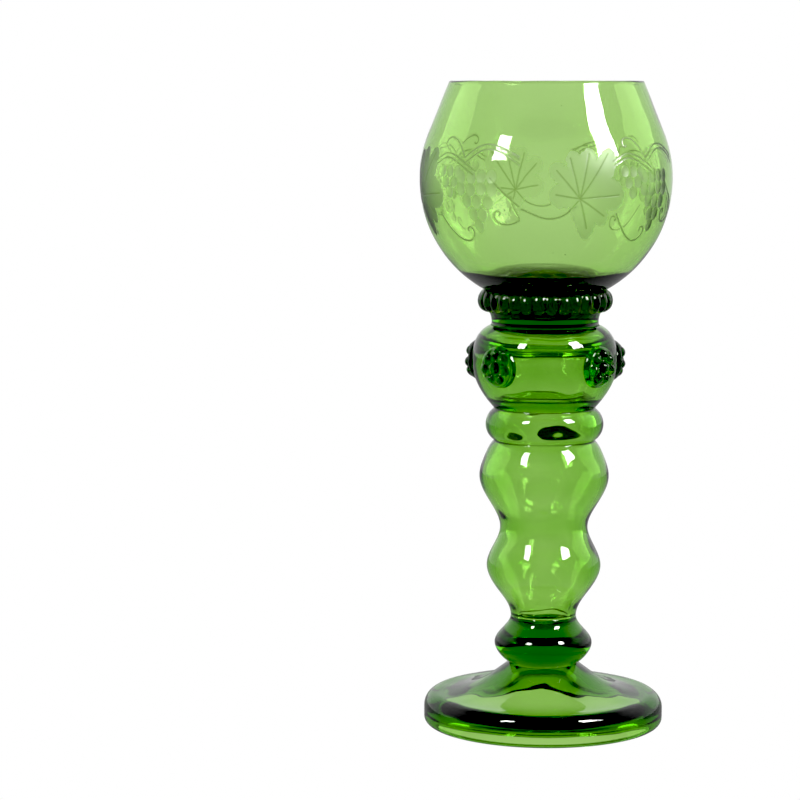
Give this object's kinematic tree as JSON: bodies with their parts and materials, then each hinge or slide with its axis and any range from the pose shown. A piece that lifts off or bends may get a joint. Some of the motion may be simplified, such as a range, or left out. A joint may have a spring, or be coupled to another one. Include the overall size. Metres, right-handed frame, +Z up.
{
  "type": "roemer wine glass",
  "caption": "Green roemer: a round engraved wine bowl on a hollow bulbed stem with raspberry prunts, a solid knop and a thick round foot.",
  "frame": {"origin": "on the axis, at the level that the foot stands on", "axes": "+Z up along the axis from the foot to the rim; -Y is the side the glass is seen from"},
  "size_m": [0.0776, 0.0776, 0.2],
  "materials": {
    "green_glass": "clear green soda-lime glass, fire polished",
    "engraved_green_glass": "clear green soda-lime glass with a matt wheel-engraved vine band"
  },
  "bodies": {
    "root": {"foot": "green_glass", "knop": "green_glass", "stem": "green_glass", "prunt_1": "green_glass", "prunt_2": "green_glass", "prunt_3": "green_glass", "prunt_4": "green_glass", "collar": "green_glass", "collar_trail": "green_glass", "bowl": "engraved_green_glass"}
  },
  "joints": []
}
